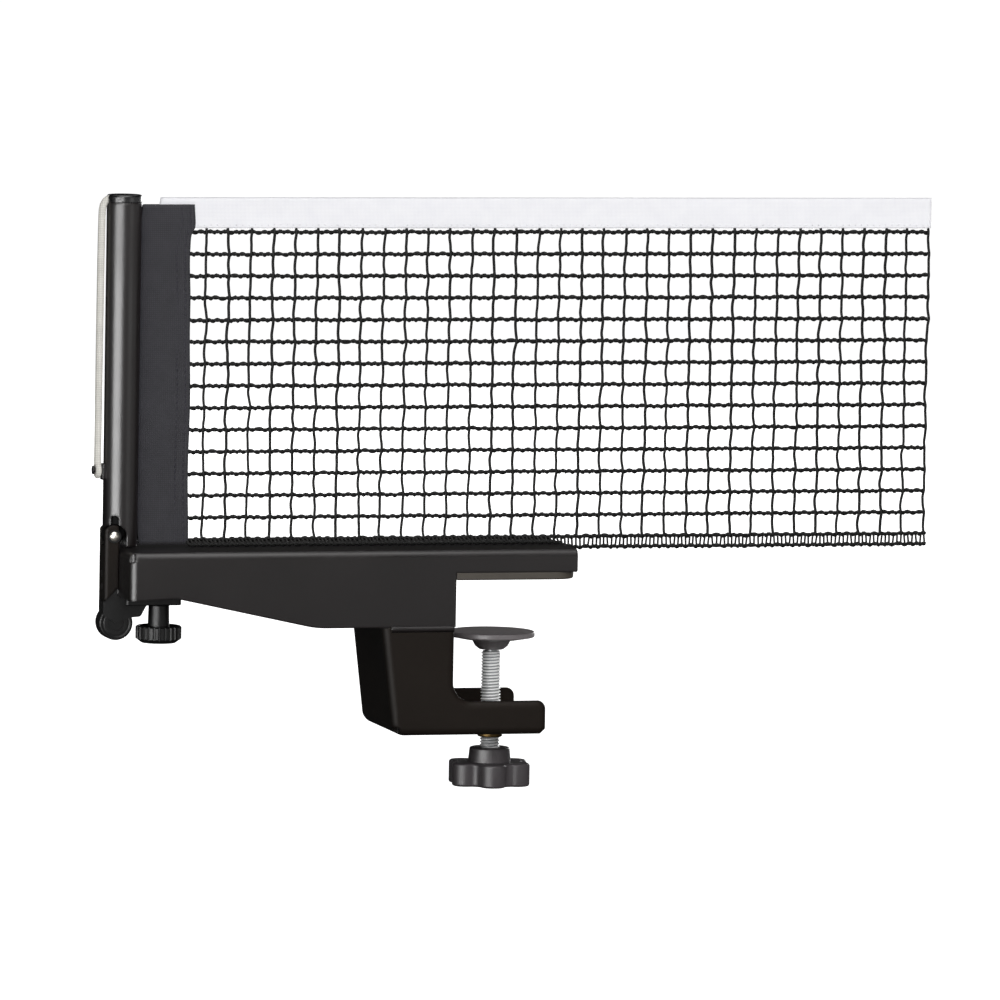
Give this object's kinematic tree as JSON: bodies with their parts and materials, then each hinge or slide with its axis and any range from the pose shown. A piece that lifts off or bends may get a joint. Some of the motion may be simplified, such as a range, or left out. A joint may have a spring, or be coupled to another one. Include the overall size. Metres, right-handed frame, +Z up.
{
  "type": "table tennis net clamp",
  "caption": "Screw clamp with a folding slotted post that carries one end of a table tennis net; the net's height is set by a wheel under the arm and its tension by a cord.",
  "frame": {"origin": "in the underside of the jaw pad, where the table's surface is, near the pad's middle", "axes": "+X from the post along the net, +Y away from the viewer of the pictured side, +Z up"},
  "size_m": [0.3503, 0.0532, 0.2395],
  "materials": {
    "black_powder_coat": "satin powder coat",
    "pad_rubber": "matt",
    "yellow_zinc": "yellow zinc plate",
    "clear_zinc": "bright zinc plate",
    "nickel": "bright nickel plate",
    "black_nylon": "moulded matt",
    "grey_coat": "satin paint",
    "grey_plastic": "moulded satin",
    "cream_cord": "braided cord",
    "dark_canvas": "plain weave",
    "white_tape": "woven cotton tape",
    "black_net_cord": "knotted nylon cord"
  },
  "bodies": {
    "bracket": {"arm_channel": "black_powder_coat", "lower_jaw": "black_powder_coat", "seam_welds": "black_powder_coat", "jaw_pad": "pad_rubber", "screw_bush": "yellow_zinc", "screw_bridge": "black_powder_coat", "height_nut": "clear_zinc"},
    "disc": {"pressure_disc": "grey_coat"},
    "screw": {"clamp_screw": "clear_zinc", "star_knob": "grey_plastic"},
    "carrier": {"hinge_channel": "black_powder_coat", "foot": "black_nylon", "guide_plate": "clear_zinc", "guide_rivets": "black_powder_coat", "hinge_rivet": "nickel", "hinge_washers": "black_nylon"},
    "height_screw": {"height_stud": "clear_zinc", "stud_clip": "clear_zinc", "height_wheel": "black_nylon"},
    "post": {"post_tube": "black_powder_coat", "tube_plug": "black_nylon", "post_cap": "black_nylon", "hook_lug": "black_powder_coat", "cord_eye": "cream_cord", "tension_cord": "cream_cord", "net_rod": "black_nylon", "net_sleeve": "dark_canvas", "net_tape": "white_tape", "net_mesh": "black_net_cord", "net_hem": "black_net_cord"}
  },
  "joints": [
    {"name": "clamp_travel", "type": "slide", "parent": "bracket", "child": "disc", "axis": [0, 0, 1], "range_m": [-0.026, 0.0035]},
    {"name": "clamp_turn", "type": "hinge", "parent": "disc", "child": "screw", "pos_m": [-0.0037, 0, -0.05], "axis": [0, 0, 1], "range_deg": [-7489, 1009]},
    {"name": "height_travel", "type": "slide", "parent": "bracket", "child": "carrier", "axis": [0, 0, 1], "range_m": [0, 0.004]},
    {"name": "height_turn", "type": "hinge", "parent": "carrier", "child": "height_screw", "pos_m": [-0.1422, 0, -0.02], "axis": [0, 0, 1], "range_deg": [0, 1441]},
    {"name": "post_fold", "type": "hinge", "parent": "carrier", "child": "post", "pos_m": [-0.1621, 0, 0.0169], "axis": [0, -1, 0], "range_deg": [0, 90]}
  ],
  "couplings": [
    {"joint": "clamp_turn", "follows": "clamp_travel", "rad_per_m": 5026.5},
    {"joint": "height_turn", "follows": "height_travel", "rad_per_m": 6283.2}
  ]
}
